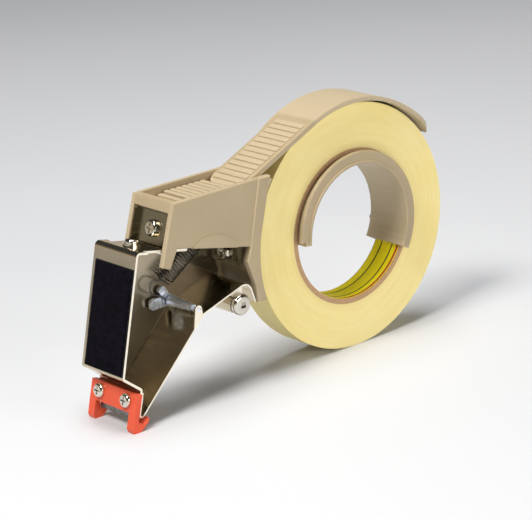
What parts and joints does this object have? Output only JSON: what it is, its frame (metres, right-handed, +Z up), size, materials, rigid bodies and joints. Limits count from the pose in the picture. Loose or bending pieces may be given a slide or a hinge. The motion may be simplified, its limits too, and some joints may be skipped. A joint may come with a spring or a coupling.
{
  "type": "tape dispenser",
  "caption": "Hand-held strapping-tape dispenser: moulded frame and hub carry a tape roll; a sprung sheet-metal applicator with wiping pad, blade and guard swings at the front.",
  "frame": {"origin": "centre of the footprint on the floor plane, below the middle of the overall box", "axes": "+X from the wiping pad at the front to the tape roll at the back, +Y across the width away from the open side of the applicator, +Z up"},
  "size_m": [0.2235, 0.037, 0.1317],
  "materials": {
    "frame_plastic": "satin moulded",
    "plated_steel": "bright plated",
    "spring_steel": "drawn wire",
    "blade_steel": "ground",
    "guard_plastic": "moulded",
    "pad_fabric": "cut pile",
    "pad_backing": "woven",
    "tape_film": "wound film edge",
    "core_board": "wound board",
    "core_print": "printed liner"
  },
  "bodies": {
    "frame": {"roll_web": "frame_plastic", "hub_arch": "frame_plastic", "palm_guard": "frame_plastic", "head_housing": "frame_plastic", "head_bracket": "plated_steel", "bracket_screws": "plated_steel", "frame_screws": "plated_steel", "spring_anchor": "plated_steel", "tension_spring": "spring_steel", "pivot_shaft": "plated_steel", "pivot_washer": "plated_steel", "pivot_screw": "plated_steel"},
    "applicator": {"front_plate": "plated_steel", "side_plate": "plated_steel", "guide_plate": "plated_steel", "hinge_barrel": "plated_steel", "cross_rod": "plated_steel", "rod_clip": "plated_steel", "wipe_pad": "pad_fabric", "pad_backing": "pad_backing", "blade": "blade_steel", "blade_guard": "guard_plastic", "guard_screws": "plated_steel", "guard_nuts": "plated_steel", "flange_screw": "plated_steel", "flange_nut": "plated_steel"},
    "roll": {"tape_winding": "tape_film", "tape_core": "core_board", "core_liner": "core_print"}
  },
  "joints": [
    {"name": "applicator_swing", "type": "hinge", "parent": "frame", "child": "applicator", "pos_m": [-0.03685, 0, 0.0462], "axis": [0, 1, 0], "range_deg": [-10, 0], "stiffness_Nm_per_rad": 0.35, "springref_deg": 28.65, "deforming": ["tension_spring"]},
    {"name": "roll_spin", "type": "hinge", "parent": "frame", "child": "roll", "pos_m": [0.04755, 0, 0.0642], "axis": [0, 1, 0], "continuous": true}
  ]
}
